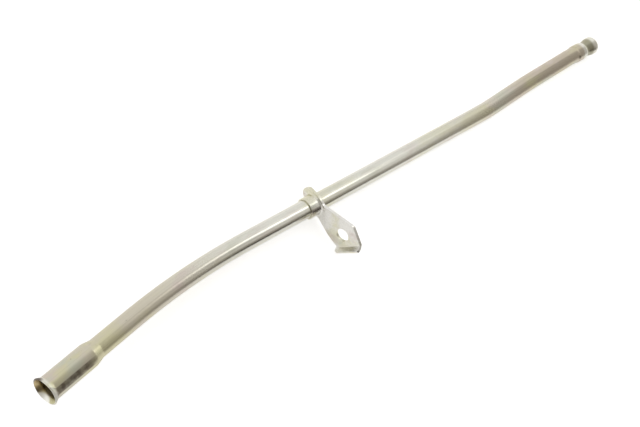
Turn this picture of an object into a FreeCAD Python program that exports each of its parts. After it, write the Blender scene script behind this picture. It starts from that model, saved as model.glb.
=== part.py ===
"""Oil dipstick guide tube: one drawn steel tube and the stamped bracket brazed to it.

The tube lies on a surface as it comes to rest: on the bracket's flange, the bracket's lip and the block end.
X runs from the socket that takes the dipstick to the end that goes into the engine block, Z is up.
"""
import math
import os

import FreeCAD
import Part

Vector = FreeCAD.Vector

# Tube section
tube_diameter = 12.0
tube_wall = 1.0

# Route of the tube: legs between the corner points of its bends, from the socket to the block end
socket_leg = 110.2
main_leg = 256.0
offset_leg = 46.5
return_leg = 49.0
block_leg = 28.4
socket_bend_angle = 10.9
socket_rise_angle = 6.4
socket_bend_radius = 415.0
offset_bend_angle = 3.9
offset_bend_radius = 250.0
return_bend_angle = 1.6
return_bend_radius = 250.0
block_bend_angle = 1.6
block_bend_radius = 120.0

# Swaged socket with its flared lip
socket_diameter = 14.6
socket_length = 31.5
socket_cone_length = 5.5
socket_cone_round = 3.0
lip_diameter = 17.2
lip_length = 2.6
lip_round = 2.4

# Block end: a bead that stops the tube, a neck for the seal and a flared nose
bead_diameter = 13.0
bead_length = 7.4
bead_shoulder = 1.6
neck_diameter = 11.2
neck_length = 1.7
neck_shoulder = 2.6
nose_diameter = 13.6
nose_shoulder = 6.2
nose_band = 1.8
nose_tip_diameter = 12.0
nose_tip_length = 1.4
form_round = 0.9

# Bracket sheet, its drawn collar and its flange
sheet_thickness = 1.8
braze_gap = 0.08
collar_wall = 1.0
collar_length = 7.4
collar_flare = 1.4
collar_back_chamfer = 1.2
flange_diameter = 17.4
flange_corner_round = 3.0
bracket_from_bend = 97.8

# Ear on the side away from the arm
ear_radius = 6.8
ear_reach = 11.8

# Arm: bent away from the flange along a line beside the collar
arm_angle = 48.0
arm_bend_reach = 9.6
arm_bend_angle = 12.5
arm_bend_round = 3.0
arm_root_low = 4.0
arm_root_high = 6.0

# Pad at the end of the arm, with its bolt hole and lip
pad_turn = 15.8
hole_out = 11.6
hole_along = 16.0
hole_diameter = 9.0
pad_to_far_edge = 11.0
pad_to_near_edge = 8.4
pad_to_lip = 8.0
pad_to_back_edge = 5.7
pad_corner_round = 2.0
lip_fold_angle = 68.0
lip_fold_round = 1.2
lip_height = 4.0
lip_corner_round = 1.4

tube_radius = tube_diameter / 2
collar_bore_radius = tube_radius + braze_gap
collar_radius = collar_bore_radius + collar_wall
flange_radius = flange_diameter / 2
nose_radius = nose_diameter / 2

# Limits for picking edges and for finding how the part rests
close = 1e-4
pick_angle = 8.0
widest_roll_angle = 60.0
parallel = math.cos(math.radians(pick_angle))

AXIS = Vector(1, 0, 0)
ACROSS = Vector(0, 1, 0)
UP = Vector(0, 0, 1)


def rounded(points, radii, closed):
    """Wire through the points, with a tangent arc of the given radius at each corner."""
    edges = []
    count = len(points)
    starts = []
    ends = []
    for index, (corner, radius) in enumerate(zip(points, radii)):
        at_end = not closed and index in (0, count - 1)
        if at_end or radius <= 0:
            starts.append(corner)
            ends.append(corner)
            continue
        back = (points[index - 1] - corner).normalize()
        ahead = (points[(index + 1) % count] - corner).normalize()
        half = back.getAngle(ahead) / 2
        reach = radius / math.tan(half)
        middle = (back + ahead).normalize() * (radius / math.sin(half) - radius)
        start = corner + back * reach
        end = corner + ahead * reach
        edges.append((index, Part.Arc(start, corner + middle, end).toShape()))
        starts.append(start)
        ends.append(end)
    for index in range(count if closed else count - 1):
        start = ends[index]
        end = starts[(index + 1) % count]
        if start.distanceToPoint(end) > close:
            edges.append((index + 0.5, Part.LineSegment(start, end).toShape()))
    return Part.Wire([edge for _, edge in sorted(edges, key=lambda pair: pair[0])])


def heading(angle, fall=0):
    """Unit vector at an angle in the plane of the main run's bends, falling out of that plane."""
    flat = math.cos(math.radians(fall))
    return Vector(math.cos(math.radians(angle)) * flat, math.sin(math.radians(angle)) * flat,
                  -math.sin(math.radians(fall)))


def route_points():
    """Corner points of the tube's centre line, from the socket's mouth at the origin, and the last leg's angle."""
    points = [Vector(0, 0, 0), heading(socket_bend_angle, socket_rise_angle) * socket_leg]
    turns = (offset_bend_angle, -return_bend_angle, -block_bend_angle, 0)
    angle = 0
    for leg, turn in zip((main_leg, offset_leg, return_leg, block_leg), turns):
        last_angle = angle
        points.append(points[-1] + heading(angle) * leg)
        angle += turn
    return points, last_angle


def drawn_wall(stations, outer_radii, inner_radii):
    """Tube wall turned about X from (distance, outer diameter) stations, all of the same thickness."""
    outer = [Vector(along, diameter / 2, 0) for along, diameter in stations]
    inner = [point - Vector(0, tube_wall, 0) for point in reversed(outer)]
    outline = rounded(outer + inner, outer_radii + inner_radii[::-1], closed=True)
    return Part.Face(outline).revolve(Vector(0, 0, 0), AXIS, 360)


def socket_end():
    """Swaged socket that opens towards -X, with its mouth at the origin."""
    cone_end = socket_length + socket_cone_length
    stations = [(0, lip_diameter), (lip_length, socket_diameter), (socket_length, socket_diameter),
                (cone_end, tube_diameter), (cone_end + tube_diameter, tube_diameter)]
    radii = [0, lip_round, socket_cone_round, socket_cone_round, 0]
    return drawn_wall(stations, radii, radii)


def block_end_stations():
    """Outer line of the block end, from the plain tube to the tip."""
    steps = [(0, tube_diameter), (form_round * 2, tube_diameter), (bead_shoulder, bead_diameter),
             (bead_length, bead_diameter), (neck_shoulder, neck_diameter), (neck_length, neck_diameter),
             (nose_shoulder, nose_diameter), (nose_band, nose_diameter), (nose_tip_length, nose_tip_diameter)]
    stations = []
    along = 0
    for step, diameter in steps:
        along += step
        stations.append((along, diameter))
    return stations


def block_end():
    """Bead, neck and nose, with the plain tube's end at the origin."""
    stations = block_end_stations()
    rounds = [0] + [form_round] * (len(stations) - 2) + [0]
    sharp = [0] * len(stations)
    return drawn_wall(stations, rounds, sharp)


def guide_tube():
    """Whole tube, from the socket's mouth at the origin to the block end."""
    points, last_angle = route_points()
    mouth_heading = heading(socket_bend_angle, socket_rise_angle)
    form_length = block_end_stations()[-1][0]
    pipe_start = mouth_heading * (socket_length + socket_cone_length + tube_diameter)
    pipe_end = points[-1] - heading(last_angle) * form_length
    centre_line = rounded([pipe_start] + points[1:-1] + [pipe_end],
                          [0, socket_bend_radius, offset_bend_radius, return_bend_radius, block_bend_radius, 0],
                          closed=False)
    ring = Part.Face([Part.Wire(Part.makeCircle(radius, pipe_start, mouth_heading))
                      for radius in (tube_radius, tube_radius - tube_wall)])
    pipe = centre_line.makePipe(ring)
    socket = socket_end()
    socket.rotate(Vector(0, 0, 0), ACROSS, socket_rise_angle)
    socket.rotate(Vector(0, 0, 0), UP, socket_bend_angle)
    nose = block_end()
    nose.rotate(Vector(0, 0, 0), UP, last_angle)
    nose.translate(pipe_end)
    return pipe.fuse([socket, nose]).removeSplitter()


# Directions of the bent arm, in a frame with X along the tube and the plate's socket side at X = 0
ARM_OUT = Vector(0, -math.cos(math.radians(arm_angle)), math.sin(math.radians(arm_angle)))
ARM_ALONG = Vector(0, -math.sin(math.radians(arm_angle)), -math.cos(math.radians(arm_angle)))
BENT_OUT = (ARM_OUT * math.cos(math.radians(arm_bend_angle))
            + AXIS * math.sin(math.radians(arm_bend_angle)))
PAD_FRONT = (ARM_OUT * math.sin(math.radians(arm_bend_angle))
             - AXIS * math.cos(math.radians(arm_bend_angle)))
PAD_ACROSS = (BENT_OUT * math.cos(math.radians(pad_turn)) - ARM_ALONG * math.sin(math.radians(pad_turn)))
PAD_TO_LIP = (ARM_ALONG * math.cos(math.radians(pad_turn)) + BENT_OUT * math.sin(math.radians(pad_turn)))
HOLE_CENTRE = ARM_OUT * arm_bend_reach + ARM_ALONG * hole_along + BENT_OUT * hole_out


def pad_point(across, to_lip):
    """Point on the pad's socket side, from the centre of its hole."""
    return HOLE_CENTRE + PAD_ACROSS * across + PAD_TO_LIP * to_lip


def flattened(point):
    """The point as seen along the tube."""
    return Vector(0, point.y, point.z)


def bent_sheet(width):
    """Wide strip of sheet with the arm's bend in it, square to the tube on the inner side of the bend."""
    bend = ARM_OUT * arm_bend_reach
    corner_shift = sheet_thickness * math.tan(math.radians(arm_bend_angle) / 2)
    front = [ARM_OUT * -width, bend, bend + BENT_OUT * width]
    back = [front[0] + AXIS * sheet_thickness, bend + AXIS * sheet_thickness - ARM_OUT * corner_shift,
            front[2] - PAD_FRONT * sheet_thickness]
    radii = [0, arm_bend_round + sheet_thickness, 0, 0, arm_bend_round, 0]
    side = Part.Face(rounded(front + back[::-1], radii, closed=True))
    side.translate(ARM_ALONG * -width)
    return side.extrude(ARM_ALONG * (2 * width))


def sheet_outline(depth):
    """Flange, ear and arm as seen along the tube, as a prism of the given depth on both sides."""
    base = AXIS * -depth
    prism = AXIS * (2 * depth)
    flange = Part.Face(Part.Wire(Part.makeCircle(flange_radius, base, AXIS)))
    ear_centre = Vector(-depth, ear_reach - ear_radius, 0)
    ear = Part.Face(Part.Wire(Part.makeCircle(ear_radius, ear_centre, AXIS)))
    corners = [Vector(0, 0, arm_root_high), Vector(0, 0, -arm_root_low),
               flattened(pad_point(-pad_to_near_edge, pad_to_lip)),
               flattened(pad_point(pad_to_far_edge, pad_to_lip)),
               flattened(pad_point(pad_to_far_edge, -pad_to_back_edge))]
    arm = Part.Face(rounded([corner + base for corner in corners], [0, 0, 0, 0, pad_corner_round], closed=True))
    shapes = [face.extrude(prism) for face in (flange, ear, arm)]
    outline = shapes[0].fuse(shapes[1:]).removeSplitter()
    inner_corners = [edge for edge in outline.Edges
                     if abs(flattened(edge.CenterOfMass).Length - flange_radius) < close
                     and abs(edge.tangentAt(edge.FirstParameter).dot(AXIS)) > parallel]
    return outline.makeFillet(flange_corner_round, inner_corners)


def collar():
    """Collar drawn out of the flange towards the socket, turned about the tube."""
    points = [Vector(-collar_length, collar_bore_radius, 0), Vector(-collar_length, collar_radius, 0),
              Vector(0, collar_radius, 0), Vector(0, flange_radius, 0),
              Vector(sheet_thickness, flange_radius, 0),
              Vector(sheet_thickness, collar_bore_radius + collar_back_chamfer, 0),
              Vector(sheet_thickness - collar_back_chamfer, collar_bore_radius, 0)]
    outline = rounded(points, [0, 0, collar_flare, 0, 0, 0, 0], closed=True)
    return Part.Face(outline).revolve(Vector(0, 0, 0), AXIS, 360)


def pad_lip():
    """Lip folded up from the pad's edge towards the socket."""
    fold = math.radians(lip_fold_angle)
    lip_up = PAD_TO_LIP * math.cos(fold) + PAD_FRONT * math.sin(fold)
    lip_back = PAD_TO_LIP * math.sin(fold) - PAD_FRONT * math.cos(fold)
    inner = pad_point(-pad_to_near_edge, pad_to_lip)
    root = inner - PAD_TO_LIP * (lip_fold_round + sheet_thickness)
    outer = inner - PAD_FRONT * sheet_thickness + PAD_TO_LIP * (sheet_thickness * math.tan(fold / 2))
    tip = inner + lip_up * lip_height
    points = [root, inner, tip, tip + lip_back * sheet_thickness, outer, root - PAD_FRONT * sheet_thickness]
    radii = [0, lip_fold_round, 0, 0, lip_fold_round + sheet_thickness, 0]
    width = pad_to_near_edge + pad_to_far_edge
    lip = Part.Face(rounded(points, radii, closed=True)).extrude(PAD_ACROSS * width)
    top_edges = [edge for edge in lip.Edges
                 if abs(edge.tangentAt(edge.FirstParameter).dot(lip_back)) > parallel
                 and (edge.CenterOfMass - tip).dot(lip_up) > -close]
    return lip.makeFillet(lip_corner_round, top_edges)


def bracket():
    """Stamped bracket, with the plate's socket side at X = 0 and the tube's axis along X."""
    depth = flange_diameter
    width = 2 * (arm_bend_reach + hole_along + hole_out)
    sheet = bent_sheet(width).common(sheet_outline(depth))
    sheet = sheet.cut(Part.makeCylinder(collar_radius + collar_flare, 2 * depth, AXIS * -depth, AXIS))
    body = sheet.fuse([collar(), pad_lip()])
    drill = Part.makeCylinder(hole_diameter / 2, 2 * depth, HOLE_CENTRE - PAD_FRONT * depth, PAD_FRONT)
    return body.cut(drill).removeSplitter()


def rest_roll():
    """Turn of the bracket about the tube that brings its lip level with the flange's underside."""
    lip = pad_lip()
    low, high = 0.0, widest_roll_angle
    while high - low > close:
        middle = (low + high) / 2
        turned = lip.rotated(Vector(0, 0, 0), AXIS, middle)
        if turned.optimalBoundingBox(False, False).ZMin < -flange_radius:
            high = middle
        else:
            low = middle
    return low


def main():
    tube = guide_tube()
    points = route_points()[0]
    clip = bracket()
    clip.rotate(Vector(0, 0, 0), AXIS, rest_roll())
    station = points[1] + AXIS * bracket_from_bend
    clip.translate(station)
    nose_run = points[-1].x - nose_tip_length - station.x
    rest_pitch = math.degrees(math.atan((flange_radius - nose_radius) / nose_run))
    nodes = {"guide_tube": tube, "bracket": clip}
    for shape in nodes.values():
        shape.rotate(Vector(0, 0, 0), ACROSS, rest_pitch)
    box = Part.makeCompound(list(nodes.values())).optimalBoundingBox(False, False)
    os.makedirs("parts", exist_ok=True)
    for name, shape in nodes.items():
        shape.translate(Vector(-box.Center.x, -box.Center.y, -box.ZMin))
        shape.exportStep(f"parts/{name}.step")


main()
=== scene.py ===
"""Looks of the oil dipstick tube: the drawn and plated tube, its stamped bracket and the studio."""
import math

import bpy
from bpy.props import FloatProperty, FloatVectorProperty, IntProperty, PointerProperty
from mathutils import Matrix, Vector


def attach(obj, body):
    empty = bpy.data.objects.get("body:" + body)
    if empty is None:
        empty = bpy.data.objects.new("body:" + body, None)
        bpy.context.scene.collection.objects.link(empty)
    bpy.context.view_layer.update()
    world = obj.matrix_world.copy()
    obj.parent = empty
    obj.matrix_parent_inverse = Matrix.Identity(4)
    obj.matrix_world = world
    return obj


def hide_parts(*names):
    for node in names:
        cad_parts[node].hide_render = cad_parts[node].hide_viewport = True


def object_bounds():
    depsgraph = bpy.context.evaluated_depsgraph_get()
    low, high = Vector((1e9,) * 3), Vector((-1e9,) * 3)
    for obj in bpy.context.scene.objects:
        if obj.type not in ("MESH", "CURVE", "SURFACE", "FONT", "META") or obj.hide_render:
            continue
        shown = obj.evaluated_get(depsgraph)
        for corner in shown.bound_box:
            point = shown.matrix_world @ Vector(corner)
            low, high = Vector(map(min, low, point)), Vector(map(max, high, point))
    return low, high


bl_info = {
    "name": "Oil dipstick tube",
    "version": (1, 0, 0),
    "blender": (4, 5, 0),
    "location": "View3D > Sidebar > Dipstick tube",
    "description": "Models the plated guide tube and its bracket on the packed frame",
    "category": "Mesh",
}

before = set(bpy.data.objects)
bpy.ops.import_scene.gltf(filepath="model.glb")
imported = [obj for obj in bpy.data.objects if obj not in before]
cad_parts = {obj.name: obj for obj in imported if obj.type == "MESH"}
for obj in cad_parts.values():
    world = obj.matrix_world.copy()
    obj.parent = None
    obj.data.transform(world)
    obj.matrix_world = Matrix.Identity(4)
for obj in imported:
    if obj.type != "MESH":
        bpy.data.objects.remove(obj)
CAD_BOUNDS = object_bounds()
MILLI = 0.001


def length(name, description, millimetres):
    """A size property in metres, given in millimetres."""
    return FloatProperty(name=name, description=description, default=millimetres * MILLI,
                         subtype="DISTANCE", unit="LENGTH", precision=5)


def angle(name, description, degrees):
    """An angle property, given in degrees."""
    return FloatProperty(name=name, description=description, default=math.radians(degrees),
                         subtype="ANGLE", unit="ROTATION")


def count(name, description, number, least=1):
    """A whole number property."""
    return IntProperty(name=name, description=description, default=number, min=least)


def share(name, description, part):
    """A property between 0 and 1."""
    return FloatProperty(name=name, description=description, default=part, min=0.0, max=1.0,
                         subtype="FACTOR")


def colour(name, description, red, green, blue):
    """A linear colour property."""
    return FloatVectorProperty(name=name, description=description, default=(red, green, blue),
                               subtype="COLOR", size=3, min=0.0, max=1.0)


class TubeSizes(bpy.types.PropertyGroup):
    """Sizes of the guide tube and of its route."""

    diameter: length("Diameter", "Outside of the plain tube", 12.0)
    wall: length("Wall", "Thickness of the tube's wall", 1.0)
    ring_points: count("Ring points", "Points around the tube", 72, 24)
    ring_step: length("Ring step", "Distance between rings on the plain run", 4.5)
    mouth: FloatVectorProperty(
        name="Mouth", description="Centre of the socket's mouth", subtype="XYZ", size=3,
        unit="LENGTH", default=(-0.242685, -0.006297, 0.022386), precision=6)
    pitch: angle("Pitch", "Fall of the tube towards the block end", 0.388)
    socket_leg: length("Socket leg", "From the mouth to the first bend's corner", 110.2)
    main_leg: length("Main leg", "Between the first and second bend's corners", 256.0)
    offset_leg: length("Offset leg", "Between the second and third bend's corners", 46.5)
    return_leg: length("Return leg", "Between the third and fourth bend's corners", 49.0)
    block_leg: length("Block leg", "From the fourth bend's corner to the tip", 28.4)
    socket_bend: angle("Socket bend", "Turn of the first bend", 10.9)
    socket_rise: angle("Socket rise", "Climb of the socket leg out of the other bends' plane", 6.4)
    offset_bend: angle("Offset bend", "Turn of the second bend", 3.9)
    return_bend: angle("Return bend", "Turn of the third bend", 1.6)
    block_bend: angle("Block bend", "Turn of the fourth bend", 1.6)
    socket_bend_radius: length("Socket bend radius", "Radius of the first bend", 415.0)
    offset_bend_radius: length("Offset bend radius", "Radius of the second bend", 250.0)
    return_bend_radius: length("Return bend radius", "Radius of the third bend", 250.0)
    block_bend_radius: length("Block bend radius", "Radius of the fourth bend", 120.0)
    lip_diameter: length("Lip diameter", "Outside of the flared lip", 17.2)
    lip_length: length("Lip length", "Length of the flared lip", 2.6)
    lip_round: length("Lip round", "Round at the foot of the lip", 2.4)
    rim_round: length("Rim round", "Round on the edges of both open ends", 0.3)
    rim_segments: count("Rim segments", "Steps in the rim round", 3)
    rim_angle: angle("Rim angle", "Edges that turn more than this are rims", 50.0)
    smooth_angle: angle("Smooth angle", "Faces that turn less than this shade as one", 60.0)
    socket_diameter: length("Socket diameter", "Outside of the swaged socket", 14.6)
    socket_length: length("Socket length", "From the mouth to the cone", 31.5)
    cone_length: length("Cone length", "Length of the cone behind the socket", 5.5)
    cone_round: length("Cone round", "Round at both ends of the cone", 3.0)
    bead_diameter: length("Bead diameter", "Outside of the bead", 13.0)
    bead_length: length("Bead length", "Straight length of the bead", 7.4)
    bead_shoulder: length("Bead shoulder", "Slope up to the bead", 1.6)
    neck_diameter: length("Neck diameter", "Outside of the neck", 11.2)
    neck_length: length("Neck length", "Straight length of the neck", 1.7)
    neck_shoulder: length("Neck shoulder", "Slope from the bead to the neck", 2.6)
    nose_diameter: length("Nose diameter", "Largest outside of the nose", 13.6)
    nose_shoulder: length("Nose shoulder", "Slope from the neck to the nose", 6.2)
    nose_band: length("Nose band", "Straight length of the nose", 1.8)
    tip_diameter: length("Tip diameter", "Outside of the tip", 12.0)
    tip_length: length("Tip length", "Length of the rounded tip", 1.4)
    form_round: length("Form round", "Round in the block end's shape", 0.9)


class BracketSizes(bpy.types.PropertyGroup):
    """Finish of the stamped bracket's edges."""

    edge_round: length("Edge round", "Round on the stamped sheet's edges", 0.22)
    edge_segments: count("Edge segments", "Steps in the edge round", 3)
    sharp_angle: angle("Sharp angle", "Edges that turn more than this are rounded", 35.0)
    flat_angle: angle("Flat angle", "Faces that turn less than this are joined", 0.5)
    smooth_angle: angle("Smooth angle", "Faces that turn less than this shade as one", 30.0)
    weld: length("Weld", "Points closer than this are one point", 0.001)


class PlateFinish(bpy.types.PropertyGroup):
    """Colours of the zinc plate and of the bore."""

    zinc: colour("Zinc", "Plain plated steel", 0.695, 0.685, 0.617)
    socket_tint: colour("Socket tint", "Plate towards the socket", 0.60, 0.555, 0.45)
    block_tint: colour("Block end tint", "Plate towards the block end", 0.54, 0.475, 0.38)
    straw: colour("Straw", "Yellow tint of the passivate", 0.615, 0.585, 0.37)
    rose: colour("Rose", "Pink tint of the passivate", 0.60, 0.52, 0.475)
    sage: colour("Sage", "Green tint of the passivate", 0.54, 0.55, 0.45)
    # Dark streaks and specks; also the colour of the painted dark reflection on the socket's flank
    # and on the rim.
    stain_and_dark_reflection: colour("Stain", "Dark streaks and specks", 0.10, 0.075, 0.055)
    # Darker greenish colour painted all round the neck.
    neck_dark: colour("Soil", "Greenish film in the neck", 0.30, 0.285, 0.20)
    bore: colour("Bore", "Bare steel with an oil film inside the tube", 0.60, 0.48, 0.27)
    # Painted highlight on the lower side inside the lip.
    mouth: colour("Mouth", "Bright steel inside the lip", 0.97, 0.955, 0.88)
    # Painted highlight on the lip, the bead and the nose.
    painted_highlight: colour("Worn", "Rubbed plate on the lip, the bead and the nose", 0.90, 0.90, 0.83)
    sheet: colour("Sheet", "Plain plated sheet of the bracket", 0.77, 0.755, 0.715)
    roughness: share("Roughness", "Least roughness of the plate", 0.17)
    dullness: share("Dullness", "Roughness added towards the tube's ends", 0.1)
    sheet_dullness: share("Sheet dullness", "Roughness added on the bracket's sheet", 0.05)
    bore_roughness: share("Bore roughness", "Roughness inside the tube", 0.38)


class StageSizes(bpy.types.PropertyGroup):
    """Floor and camera."""

    floor_size: length("Floor size", "Side of the floor", 6000.0)
    floor_colour: colour("Floor colour", "Pale floor", 0.86, 0.86, 0.86)
    floor_roughness: share("Floor roughness", "Roughness of the floor", 0.9)
    camera_glow: share("Camera glow", "White that the camera sees added to the floor", 0.58)
    metal_glow: share("Metal glow", "White that the metal mirrors from the floor", 0.42)
    lens: FloatProperty(name="Lens", description="Focal length in millimetres", default=62.41,
                        subtype="DISTANCE_CAMERA")
    camera_place: FloatVectorProperty(
        name="Camera place", description="Where the camera stands", size=3, unit="LENGTH",
        subtype="XYZ", default=(-0.38903, -0.08138, 0.59609), precision=5)
    camera_turn: FloatVectorProperty(
        name="Camera turn", description="How the camera is turned", size=3, unit="ROTATION",
        subtype="EULER",
        default=(math.radians(23.78), math.radians(-21.574), math.radians(-35.96)))


# ---- Modelling ----

CORNER_STEPS = 5  # steps in each eased corner of the outline
CORNER_REACH = 0.49  # most of a straight that an eased corner takes up
ROUTE_STEPS = 48  # steps along each stretch of the route
STRAIGHT = "straight"  # attribute with each point's place on the straight tube


def select_only(piece):
    """Makes the piece the only selected and the active object."""
    bpy.ops.object.select_all(action="DESELECT")
    piece.select_set(True)
    bpy.context.view_layer.objects.active = piece


def apply_modifiers(piece):
    """Applies every modifier of the piece, in order."""
    select_only(piece)
    for modifier in list(piece.modifiers):
        bpy.ops.object.modifier_apply(modifier=modifier.name)


def softened(corners, rounds):
    """Outline through (along, diameter) corners, with each corner eased over its round."""
    points = [Vector((along, diameter / 2)) for along, diameter in corners]
    outline = [corners[0]]
    for before, corner, after, size in zip(points, points[1:], points[2:], rounds[1:]):
        back, forth = before - corner, after - corner
        half = back.angle(forth) / 2
        reach = min(size / math.tan(half), back.length * CORNER_REACH, forth.length * CORNER_REACH)
        start = corner + back.normalized() * reach
        end = corner + forth.normalized() * reach
        for step in range(CORNER_STEPS + 1):
            part = step / CORNER_STEPS
            point = start.lerp(corner, part).lerp(corner.lerp(end, part), part)
            outline.append((point.x, point.y * 2))
    outline.append(corners[-1])
    return outline


def leg_directions(sizes):
    """Unit vector along each leg, from the socket to the block end."""
    flat = math.cos(sizes.socket_rise)
    directions = [Vector((math.cos(sizes.socket_bend) * flat, math.sin(sizes.socket_bend) * flat,
                          -math.sin(sizes.socket_rise)))]
    heading = 0.0
    for turn in (0.0, sizes.offset_bend, -sizes.return_bend, -sizes.block_bend):
        heading += turn
        directions.append(Vector((math.cos(heading), math.sin(heading), 0)))
    return directions


def bends(sizes):
    """Turn and radius of each bend, from the socket to the block end."""
    directions = leg_directions(sizes)
    radii = (sizes.socket_bend_radius, sizes.offset_bend_radius, sizes.return_bend_radius,
             sizes.block_bend_radius)
    return [(before.angle(after), radius)
            for before, after, radius in zip(directions, directions[1:], radii)]


def legs(sizes):
    """Lengths between the corners of the route."""
    return (sizes.socket_leg, sizes.main_leg, sizes.offset_leg, sizes.return_leg, sizes.block_leg)


def tube_length(sizes):
    """Length of the tube's centre line, with its bends as arcs."""
    cut = sum(radius * (2 * math.tan(turn / 2) - turn) for turn, radius in bends(sizes))
    return sum(legs(sizes)) - cut


def tube_outline(sizes):
    """(along, diameter) of every ring of the straight tube, from the mouth to the tip."""
    cone_end = sizes.socket_length + sizes.cone_length
    socket = softened(
        [(0.0, sizes.lip_diameter), (sizes.lip_length, sizes.socket_diameter),
         (sizes.socket_length, sizes.socket_diameter), (cone_end, sizes.diameter),
         (cone_end + sizes.diameter, sizes.diameter)],
        [0.0, sizes.lip_round, sizes.cone_round, sizes.cone_round, 0.0])
    steps = ((0.0, sizes.diameter), (2 * sizes.form_round, sizes.diameter),
             (sizes.bead_shoulder, sizes.bead_diameter), (sizes.bead_length, sizes.bead_diameter),
             (sizes.neck_shoulder, sizes.neck_diameter), (sizes.neck_length, sizes.neck_diameter),
             (sizes.nose_shoulder, sizes.nose_diameter), (sizes.nose_band, sizes.nose_diameter),
             (sizes.tip_length, sizes.tip_diameter))
    along = form_start = tube_length(sizes) - sum(step for step, _ in steps)
    corners = []
    for step, diameter in steps:
        along += step
        corners.append((along, diameter))
    block_end = softened(corners, [sizes.form_round] * len(corners))
    run_start = socket[-1][0]
    run_length = form_start - run_start
    rings = round(run_length / sizes.ring_step)
    run = [(run_start + run_length * index / rings, sizes.diameter) for index in range(1, rings)]
    return socket + run + block_end


def tube_route(sizes):
    """Curve along the tube's centre line, with an arc at each bend."""
    directions = leg_directions(sizes)
    corners = [Vector((0, 0, 0))]
    for leg, direction in zip(legs(sizes), directions):
        corners.append(corners[-1] + direction * leg)
    knots = [(corners[0], directions[0], 0.0)]
    for index, (turn, radius) in enumerate(bends(sizes)):
        reach = radius * math.tan(turn / 2)
        handle = radius * math.tan(turn / 4) * 4 / 3
        for direction, side in ((directions[index], -1), (directions[index + 1], 1)):
            knots.append((corners[index + 1] + direction * (reach * side), direction, handle))
    knots.append((corners[-1], directions[-1], 0.0))
    bpy.ops.curve.primitive_bezier_curve_add()
    route = bpy.context.object
    spline = route.data.splines[0]
    spline.bezier_points.add(len(knots) - len(spline.bezier_points))
    lay = Matrix.Translation(Vector(sizes.mouth)) @ Matrix.Rotation(sizes.pitch, 4, "Y")
    for index, (point, knot) in enumerate(zip(spline.bezier_points, knots)):
        place, direction, handle = knot
        into_arc = index % 2 == 1
        neighbour = knots[index - 1] if into_arc else knots[min(index + 1, len(knots) - 1)]
        straight = (neighbour[0] - place).length / 3
        before, after = (straight, handle) if into_arc else (handle, straight)
        point.handle_left_type = point.handle_right_type = "FREE"
        point.co = lay @ place
        point.handle_left = lay @ (place - direction * before)
        point.handle_right = lay @ (place + direction * after)
    spline.resolution_u = ROUTE_STEPS
    return route


def keep_straight_places(piece):
    """Keeps each point's place on the straight tube, so that marks can follow the bends."""
    places = piece.data.attributes.new(STRAIGHT, "FLOAT_VECTOR", "POINT")
    for vertex, place in zip(piece.data.vertices, places.data):
        place.vector = vertex.co


# ---- Finishes ----
# Places are in metres. A pair of places or values says where a mark starts and where it is full.

ALONG = (1, 0, 0)  # the straight tube runs along X, from the mouth
ACROSS = (0, 1, 0)

CLOUD_STRETCH = 0.45
CLOUD_SHIFT = 0.027
CLOUD_DETAIL = 3
STRAW_SCALE, STRAW_SPAN = 70, (0.46, 0.66)
ROSE_SCALE, ROSE_SPAN = 118, (0.52, 0.70)
SAGE_SCALE, SAGE_SPAN = 93, (0.54, 0.72)
LINES_ALONG, LINES_ACROSS = 6.0, 1500.0
LINES_DETAIL = 3
STREAK_SPAN, STREAK_SHARE = (0.55, 0.8), 0.35
SPECK_STRETCH, SPECK_SCALE = 1.13, 900
SPECK_SPAN, SPECK_SHARE = (0.765, 0.80), 0.7
GRAIN_SCALE, GRAIN_DETAIL = 2600, 2
GRAIN_ROUGHNESS = 0.1
LINES_HEIGHT, GRAIN_HEIGHT = 0.6, 0.2
BUMP_STRENGTH, BUMP_DEPTH = 0.12, 0.0002

SOCKET_FADE = (0.17, 0.06)
BLOCK_FADE = (0.30, 0.43)
MIDDLE_CLOUDS, END_CLOUDS = 0.35, 0.45
SHEET_CLOUDS = 0.6
# Painted dark reflection along one flank of the socket, broken up by blotchy noise.
FLANK = (0, -0.649, 0.761)
FLANK_EDGE, FLANK_END = (0.00685, 0.00706), (0.0325, 0.0265)
BLOTCH_SCALE, BLOTCH_DETAIL, BLOTCH_SPAN = 260, 4, (0.3, 0.65)
BLOTCH_BASE, BLOTCH_SHARE = 0.5, 0.35
NECK_DARK_SHARE = 0.75
# Noise that varies the painted highlights on the bead and the nose.
HIGHLIGHT_SCALE, HIGHLIGHT_DETAIL, HIGHLIGHT_SPAN = 240, 2, (0.35, 0.6)
HIGHLIGHT_BASE, HIGHLIGHT_SHARE = 0.5, 0.25
# Painted highlight on the lip.
LIP_SPAN, LIP_SHARE = (0.0026, 0.0010), 0.4
# Painted dark reflection on the +Y side of the rim at the mouth.
RIM_SPAN, RIM_SIDE, RIM_SHARE = (0.0018, 0.0008), (0.004, 0.0065), 0.9

OIL_STRETCH, OIL_SCALE, OIL_DETAIL, OIL_SPAN = 0.5, 160, 3, (0.5, 0.8)
INSIDE_LIP = (0.007, 0.003)
STRAW_SIDE, STRAW_EDGE = (0, -0.80, -0.60), (0.0015, 0.0045)
# Painted highlight on the lower side inside the lip.
BRIGHT_SIDE, BRIGHT_EDGE = (0, -0.22, -0.975), (0.0066, 0.0077)


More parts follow.
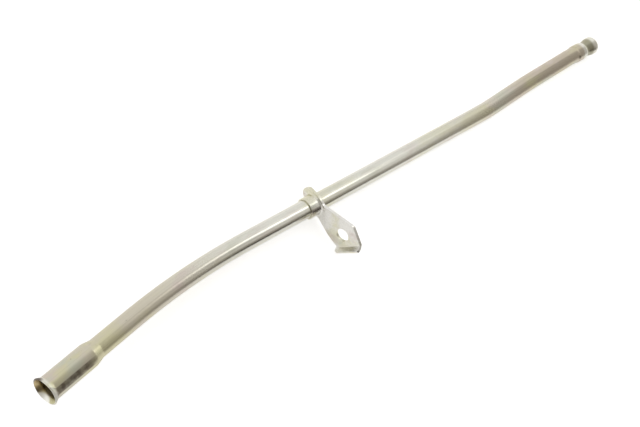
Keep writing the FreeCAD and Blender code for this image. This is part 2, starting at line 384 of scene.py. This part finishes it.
class Nodes:
    """Small helper for laying out the nodes of one material or world."""

    def __init__(self, owner):
        owner.use_nodes = True
        self.tree = owner.node_tree

    def feed(self, socket, value):
        """Links a socket to the input, or sets the input to a value."""
        if isinstance(value, bpy.types.NodeSocket):
            self.tree.links.new(value, socket)
        else:
            socket.default_value = value

    def fill(self, node, inputs):
        """Feeds the named inputs of a node, with _ for a space."""
        for key, value in inputs.items():
            self.feed(node.inputs[key.replace("_", " ")], value)

    def add(self, kind, settings=None, **inputs):
        """Adds a node with its settings and inputs."""
        node = self.tree.nodes.new(kind)
        for key, value in (settings or {}).items():
            setattr(node, key, value)
        self.fill(node, inputs)
        return node

    def shade(self, **inputs):
        """Feeds the material's main shader."""
        self.fill(self.tree.nodes["Principled BSDF"], inputs)

    def straight_place(self):
        """Place on the straight tube."""
        return self.add("ShaderNodeAttribute", {"attribute_name": STRAIGHT}).outputs["Vector"]

    def stretched(self, place, along, across=1.0, shift=0.0):
        """The place, scaled along and across the tube and shifted along it."""
        node = self.add("ShaderNodeMapping", Vector=place, Location=(shift, 0, 0),
                        Scale=(along, across, across))
        return node.outputs["Vector"]

    def noise(self, place, scale, detail):
        """Noise value at the place."""
        node = self.add("ShaderNodeTexNoise", Vector=place, Scale=scale, Detail=detail)
        return node.outputs["Fac"]

    def ramp(self, value, span, easing="SMOOTHSTEP"):
        """0 before the span, 1 after it, eased between."""
        node = self.add("ShaderNodeMapRange", {"interpolation_type": easing}, Value=value,
                        From_Min=span[0], From_Max=span[1])
        return node.outputs["Result"]

    def mix(self, part, first, second):
        """Colour mix of two colours."""
        node = self.add("ShaderNodeMix", {"data_type": "RGBA"})
        self.feed(node.inputs[0], part)
        for socket, value in ((node.inputs[6], first), (node.inputs[7], second)):
            linked = isinstance(value, bpy.types.NodeSocket)
            self.feed(socket, value if linked else (*value, 1.0))
        return node.outputs[2]

    def towards(self, place, direction):
        """Distance of the place along a direction."""
        node = self.add("ShaderNodeVectorMath", {"operation": "DOT_PRODUCT"})
        self.feed(node.inputs[0], place)
        self.feed(node.inputs[1], direction)
        return node.outputs["Value"]

    def maths(self, operation, *values):
        """Arithmetic on values."""
        node = self.add("ShaderNodeMath", {"operation": operation})
        for socket, value in zip(node.inputs, values):
            self.feed(socket, value)
        return node.outputs[0]

    def times(self, first, second):
        """Product of two values."""
        return self.maths("MULTIPLY", first, second)

    def raised(self, value, factor, base):
        """The value times a factor, on top of a base."""
        return self.maths("MULTIPLY_ADD", value, factor, base)


def plated(nodes, place, ground, cloud_share, roughness, finish):
    """Zinc plate with tinted clouds, draw lines, specks and a fine grain. Gives its colour."""
    clouds = nodes.stretched(place, CLOUD_STRETCH, shift=CLOUD_SHIFT)
    tint = ground
    for shade, scale, span in ((finish.straw, STRAW_SCALE, STRAW_SPAN),
                               (finish.rose, ROSE_SCALE, ROSE_SPAN),
                               (finish.sage, SAGE_SCALE, SAGE_SPAN)):
        cloud = nodes.ramp(nodes.noise(clouds, scale, CLOUD_DETAIL), span)
        tint = nodes.mix(nodes.times(cloud, cloud_share), tint, shade)
    lines = nodes.noise(nodes.stretched(place, LINES_ALONG, LINES_ACROSS), 1.0, LINES_DETAIL)
    streaks = nodes.ramp(lines, STREAK_SPAN)
    tint = nodes.mix(nodes.times(streaks, STREAK_SHARE), tint, finish.stain_and_dark_reflection)
    dots = nodes.noise(nodes.stretched(place, SPECK_STRETCH), SPECK_SCALE, 1)
    specks = nodes.ramp(dots, SPECK_SPAN)
    tint = nodes.mix(nodes.times(specks, SPECK_SHARE), tint, finish.stain_and_dark_reflection)
    grain = nodes.noise(place, GRAIN_SCALE, GRAIN_DETAIL)
    height = nodes.maths("ADD", nodes.times(lines, LINES_HEIGHT), nodes.times(grain, GRAIN_HEIGHT))
    bump = nodes.add("ShaderNodeBump", Height=height, Strength=BUMP_STRENGTH, Distance=BUMP_DEPTH)
    nodes.shade(Metallic=1.0, Roughness=nodes.raised(grain, GRAIN_ROUGHNESS, roughness),
                Normal=bump.outputs["Normal"])
    return tint


def block_end_marks(nodes, place, along, tint, sizes, finish):
    """Darkens the neck, and paints highlights on the end of the bead and on the nose."""
    nose = tube_length(sizes) - sizes.tip_length - sizes.nose_band
    neck = nose - sizes.nose_shoulder - sizes.neck_length
    bead = neck - sizes.neck_shoulder
    # Darker greenish colour all round the neck, between the bead and the nose.
    into_neck = nodes.ramp(along, (bead, neck))
    up_to_nose = nodes.ramp(along, (nose - 1.0 * MILLI, nose - 2.5 * MILLI))
    neck_darkening = nodes.times(into_neck, up_to_nose)
    tint = nodes.mix(nodes.times(neck_darkening, NECK_DARK_SHARE), tint, finish.neck_dark)
    # Painted highlights on the end of the bead and on the nose.
    on_bead = nodes.ramp(along, (bead - 4.0 * MILLI, bead - 1.5 * MILLI))
    off_bead = nodes.ramp(along, (bead + 1.6 * MILLI, bead + 0.2 * MILLI))
    on_nose = nodes.ramp(along, (nose - 3.5 * MILLI, nose))
    painted_highlight = nodes.maths("MAXIMUM", nodes.times(on_bead, off_bead), on_nose)
    patches = nodes.ramp(nodes.noise(place, HIGHLIGHT_SCALE, HIGHLIGHT_DETAIL), HIGHLIGHT_SPAN)
    highlight_strength = nodes.raised(patches, HIGHLIGHT_SHARE, HIGHLIGHT_BASE)
    return nodes.mix(nodes.times(painted_highlight, highlight_strength), tint, finish.painted_highlight)


def plated_tube(sizes, finish):
    """Plate of the tube: clean in the middle and tinted at both ends, with a painted dark
    reflection on the socket's flank and rim, a darker neck, and painted highlights on the lip, the
    bead and the nose.
    """
    material = bpy.data.materials.new("plated_tube")
    nodes = Nodes(material)
    place = nodes.straight_place()
    along = nodes.towards(place, ALONG)
    at_socket = nodes.ramp(along, SOCKET_FADE)
    at_block = nodes.ramp(along, BLOCK_FADE)
    at_ends = nodes.maths("MAXIMUM", at_socket, at_block)
    ground = nodes.mix(at_socket, finish.zinc, finish.socket_tint)
    ground = nodes.mix(at_block, ground, finish.block_tint)
    clouds = nodes.raised(at_ends, END_CLOUDS, MIDDLE_CLOUDS)
    dull = nodes.raised(at_ends, finish.dullness, finish.roughness)
    tint = plated(nodes, place, ground, clouds, dull, finish)
    # Painted dark reflection along one flank of the socket, broken up by blotches.
    flank = nodes.ramp(nodes.towards(place, FLANK), FLANK_EDGE)
    on_socket = nodes.times(flank, nodes.ramp(along, FLANK_END))
    blotches = nodes.ramp(nodes.noise(place, BLOTCH_SCALE, BLOTCH_DETAIL), BLOTCH_SPAN)
    painted_socket_reflection = nodes.times(on_socket, nodes.raised(blotches, BLOTCH_SHARE, BLOTCH_BASE))
    tint = nodes.mix(painted_socket_reflection, tint, finish.stain_and_dark_reflection)
    tint = block_end_marks(nodes, place, along, tint, sizes, finish)
    # Painted highlight on the lip.
    lip = nodes.ramp(along, LIP_SPAN)
    tint = nodes.mix(nodes.times(lip, LIP_SHARE), tint, finish.painted_highlight)
    # Painted dark reflection on the +Y side of the rim.
    rim_side = nodes.ramp(nodes.towards(place, ACROSS), RIM_SIDE)
    rim = nodes.times(nodes.ramp(along, RIM_SPAN), rim_side)
    tint = nodes.mix(nodes.times(rim, RIM_SHARE), tint, finish.stain_and_dark_reflection)
    nodes.shade(Base_Color=tint)
    return material


def plated_sheet(finish):
    """Plate of the bracket's sheet."""
    material = bpy.data.materials.new("plated_sheet")
    nodes = Nodes(material)
    place = nodes.add("ShaderNodeTexCoord").outputs["Object"]
    roughness = finish.roughness + finish.sheet_dullness
    tint = plated(nodes, place, finish.sheet, SHEET_CLOUDS, roughness, finish)
    nodes.shade(Base_Color=tint)
    return material


def oiled_bore(finish):
    """Bare steel inside the tube, with a straw tint and a painted highlight inside the lip, and
    browned by oil behind it.
    """
    material = bpy.data.materials.new("oiled_bore")
    nodes = Nodes(material)
    place = nodes.straight_place()
    along = nodes.towards(place, ALONG)
    oil = nodes.noise(nodes.stretched(place, OIL_STRETCH), OIL_SCALE, OIL_DETAIL)
    tint = nodes.mix(nodes.ramp(oil, OIL_SPAN), finish.bore, finish.stain_and_dark_reflection)
    inside_lip = nodes.ramp(along, INSIDE_LIP)
    # Inside the lip: a straw tint on one side and a painted highlight on the lower side.
    for direction, edge, shade in ((STRAW_SIDE, STRAW_EDGE, finish.straw),
                                   (BRIGHT_SIDE, BRIGHT_EDGE, finish.mouth)):
        side = nodes.ramp(nodes.towards(place, direction), edge)
        tint = nodes.mix(nodes.times(inside_lip, side), tint, shade)
    nodes.shade(Base_Color=tint, Metallic=1.0, Roughness=finish.bore_roughness)
    return material


# ---- Pieces ----

class DIPSTICK_OT_guide_tube(bpy.types.Operator):
    """Draws the tube straight, gives it its wall and lays it along its bends"""

    bl_idname = "dipstick.guide_tube"
    bl_label = "Guide tube"

    def execute(self, context):
        sizes = context.scene.dipstick_tube
        finish = context.scene.dipstick_finish
        rings = tube_outline(sizes)
        bpy.ops.object.select_all(action="DESELECT")
        bpy.ops.mesh.primitive_circle_add(vertices=sizes.ring_points, radius=rings[0][1] / 2,
                                          rotation=(0, math.pi / 2, 0))
        tube = context.object
        tube.name = tube.data.name = "drawn_tube"
        bpy.ops.object.transform_apply(rotation=True)
        bpy.ops.object.mode_set(mode="EDIT")
        bpy.ops.mesh.select_all(action="SELECT")
        for (start, before), (end, after) in zip(rings, rings[1:]):
            bpy.ops.mesh.extrude_region_move(
                TRANSFORM_OT_translate={"value": (end - start, 0, 0)})
            if after != before:
                grow = after / before
                bpy.ops.transform.resize(value=(1, grow, grow), center_override=(end, 0, 0))
        bpy.ops.mesh.select_all(action="SELECT")
        bpy.ops.mesh.normals_make_consistent(inside=False)
        bpy.ops.object.mode_set(mode="OBJECT")
        keep_straight_places(tube)
        tube.data.materials.append(plated_tube(sizes, finish))
        tube.data.materials.append(oiled_bore(finish))
        wall = tube.modifiers.new("wall", "SOLIDIFY")
        wall.thickness = sizes.wall
        wall.offset = -1
        wall.use_even_offset = True
        wall.material_offset = 1
        rims = tube.modifiers.new("rims", "BEVEL")
        rims.width = sizes.rim_round
        rims.segments = sizes.rim_segments
        rims.limit_method = "ANGLE"
        rims.angle_limit = sizes.rim_angle
        route = tube_route(sizes)
        bend = tube.modifiers.new("bends", "CURVE")
        bend.object = route
        bend.deform_axis = "POS_X"
        apply_modifiers(tube)
        bpy.data.objects.remove(route)
        bpy.ops.object.shade_smooth_by_angle(angle=sizes.smooth_angle)
        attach(tube, "root")
        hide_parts("guide_tube")
        return {"FINISHED"}


class DIPSTICK_OT_bracket(bpy.types.Operator):
    """Rounds the stamped edges of the bracket's sheet and plates it"""

    bl_idname = "dipstick.bracket"
    bl_label = "Bracket"

    def execute(self, context):
        sizes = context.scene.dipstick_bracket
        finish = context.scene.dipstick_finish
        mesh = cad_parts["bracket"].data.copy()
        mesh.name = "stamped_bracket"
        mesh.materials.clear()
        bracket = bpy.data.objects.new("stamped_bracket", mesh)
        context.scene.collection.objects.link(bracket)
        select_only(bracket)
        bpy.ops.object.mode_set(mode="EDIT")
        bpy.ops.mesh.select_all(action="SELECT")
        bpy.ops.mesh.remove_doubles(threshold=sizes.weld)
        bpy.ops.mesh.customdata_custom_splitnormals_clear()
        bpy.ops.mesh.dissolve_limited(angle_limit=sizes.flat_angle)
        bpy.ops.object.mode_set(mode="OBJECT")
        mesh.materials.append(plated_sheet(finish))
        edges = bracket.modifiers.new("stamped edges", "BEVEL")
        edges.width = sizes.edge_round
        edges.segments = sizes.edge_segments
        edges.limit_method = "ANGLE"
        edges.angle_limit = sizes.sharp_angle
        apply_modifiers(bracket)
        bpy.ops.object.shade_smooth_by_angle(angle=sizes.smooth_angle)
        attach(bracket, "root")
        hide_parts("bracket")
        return {"FINISHED"}


# ---- Stage ----
# The room's shade runs from the -Y side, 0, to the +Y side, 1. A bright card hangs at the +X end.

WHITE = (1, 1, 1)
ROOM = ((0.06, (0.05, 0.042, 0.032)),
        (0.125, (0.42, 0.40, 0.365)),
        (0.29, (0.455, 0.44, 0.415)),
        (0.56, (0.53, 0.52, 0.50)),
        (0.69, (0.98, 0.98, 0.98)))
CARD_EDGE, CARD_SHADE = (0.84, 0.92), (1.08, 1.11, 1.04)
# Name, place, size and power of each lamp, which hangs over the tube and points straight down.
LAMPS = (("strip_lamp", (0.08, 0.01, 0.25), (0.171, 0.08), 0.058),
         ("broad_lamp", (0.175, -0.07, 0.252), (0.25, 0.40), 0.11))
SENSOR_WIDTH = 36.0
CLIP_START = 0.01


def studio_floor(sizes):
    """Pale floor, near white for the camera and in reflections, that keeps the shadow."""
    material = bpy.data.materials.new("studio_floor")
    nodes = Nodes(material)
    nodes.shade(Base_Color=(*sizes.floor_colour, 1.0), Roughness=sizes.floor_roughness)
    rays = nodes.add("ShaderNodeLightPath").outputs
    camera_glow = nodes.times(rays["Is Camera Ray"], sizes.camera_glow)
    metal_glow = nodes.times(rays["Is Glossy Ray"], sizes.metal_glow)
    glow = nodes.add("ShaderNodeEmission", Color=(*WHITE, 1),
                     Strength=nodes.maths("ADD", camera_glow, metal_glow))
    total = nodes.add("ShaderNodeAddShader")
    nodes.feed(total.inputs[0], nodes.tree.nodes["Principled BSDF"].outputs[0])
    nodes.feed(total.inputs[1], glow.outputs[0])
    nodes.fill(nodes.tree.nodes["Material Output"], {"Surface": total.outputs[0]})
    return material


def studio_world():
    """White to the camera; for the metal, a bright room with a dark wall on the -Y side."""
    world = bpy.data.worlds.new("studio_world")
    nodes = Nodes(world)
    place = nodes.add("ShaderNodeTexCoord").outputs["Generated"]
    split = nodes.add("ShaderNodeSeparateXYZ", Vector=place).outputs
    room = nodes.add("ShaderNodeValToRGB", Fac=nodes.ramp(split["Y"], (-1.0, 1.0), "LINEAR"))
    room.color_ramp.interpolation = "EASE"
    steps = room.color_ramp.elements
    for step, (position, shade) in zip((steps[0], steps[1]), (ROOM[0], ROOM[-1])):
        step.position = position
        step.color = (*shade, 1)
    for position, shade in ROOM[1:-1]:
        steps.new(position).color = (*shade, 1)
    card = nodes.ramp(split["X"], CARD_EDGE, "LINEAR")
    lit = nodes.mix(card, room.outputs["Color"], CARD_SHADE)
    rays = nodes.add("ShaderNodeLightPath").outputs
    seen = nodes.mix(rays["Is Camera Ray"], lit, WHITE)
    nodes.fill(nodes.tree.nodes["Background"], {"Color": seen})
    return world


def softbox(scene, name, place, size, power):
    """Area lamp that points straight down."""
    lamp = bpy.data.lights.new(name, "AREA")
    lamp.shape = "RECTANGLE"
    lamp.size, lamp.size_y = size
    lamp.energy = power
    holder = bpy.data.objects.new(name, lamp)
    holder.location = place
    scene.collection.objects.link(holder)


class DIPSTICK_OT_stage(bpy.types.Operator):
    """Sets up the floor, the soft light and the camera"""

    bl_idname = "dipstick.stage"
    bl_label = "Stage"

    def execute(self, context):
        scene = context.scene
        sizes = scene.dipstick_stage
        bpy.ops.object.select_all(action="DESELECT")
        bpy.ops.mesh.primitive_plane_add(size=sizes.floor_size, location=(0, 0, CAD_BOUNDS[0][2]))
        floor = context.object
        floor.name = "floor"
        floor.data.materials.append(studio_floor(sizes))
        scene.world = studio_world()
        for name, place, size, power in LAMPS:
            softbox(scene, name, place, size, power)
        camera = bpy.data.cameras.new("camera")
        camera.lens = sizes.lens
        camera.sensor_width = SENSOR_WIDTH
        camera.sensor_fit = "HORIZONTAL"
        camera.clip_start = CLIP_START
        holder = bpy.data.objects.new("camera", camera)
        holder.location = sizes.camera_place
        holder.rotation_euler = sizes.camera_turn
        scene.collection.objects.link(holder)
        scene.camera = holder
        scene.view_settings.view_transform = "Standard"
        return {"FINISHED"}


# ---- Add-on ----

PIECES = (DIPSTICK_OT_guide_tube, DIPSTICK_OT_bracket, DIPSTICK_OT_stage)
GROUPS = {"dipstick_tube": TubeSizes, "dipstick_bracket": BracketSizes,
          "dipstick_finish": PlateFinish, "dipstick_stage": StageSizes}


class DIPSTICK_PT_panel(bpy.types.Panel):
    """Lists the pieces and the stage"""

    bl_idname = "DIPSTICK_PT_panel"
    bl_label = "Dipstick tube"
    bl_space_type = "VIEW_3D"
    bl_region_type = "UI"
    bl_category = "Dipstick tube"

    def draw(self, context):
        for operator in PIECES:
            self.layout.operator(operator.bl_idname)


def register():
    for group in (*GROUPS.values(), *PIECES, DIPSTICK_PT_panel):
        bpy.utils.register_class(group)
    for name, group in GROUPS.items():
        setattr(bpy.types.Scene, name, PointerProperty(type=group))


def unregister():
    for name in GROUPS:
        delattr(bpy.types.Scene, name)
    for group in (DIPSTICK_PT_panel, *reversed(PIECES), *GROUPS.values()):
        bpy.utils.unregister_class(group)


def main():
    register()
    bpy.ops.dipstick.guide_tube()
    bpy.ops.dipstick.bracket()
    bpy.ops.dipstick.stage()


if __name__ == "__main__":
    main()
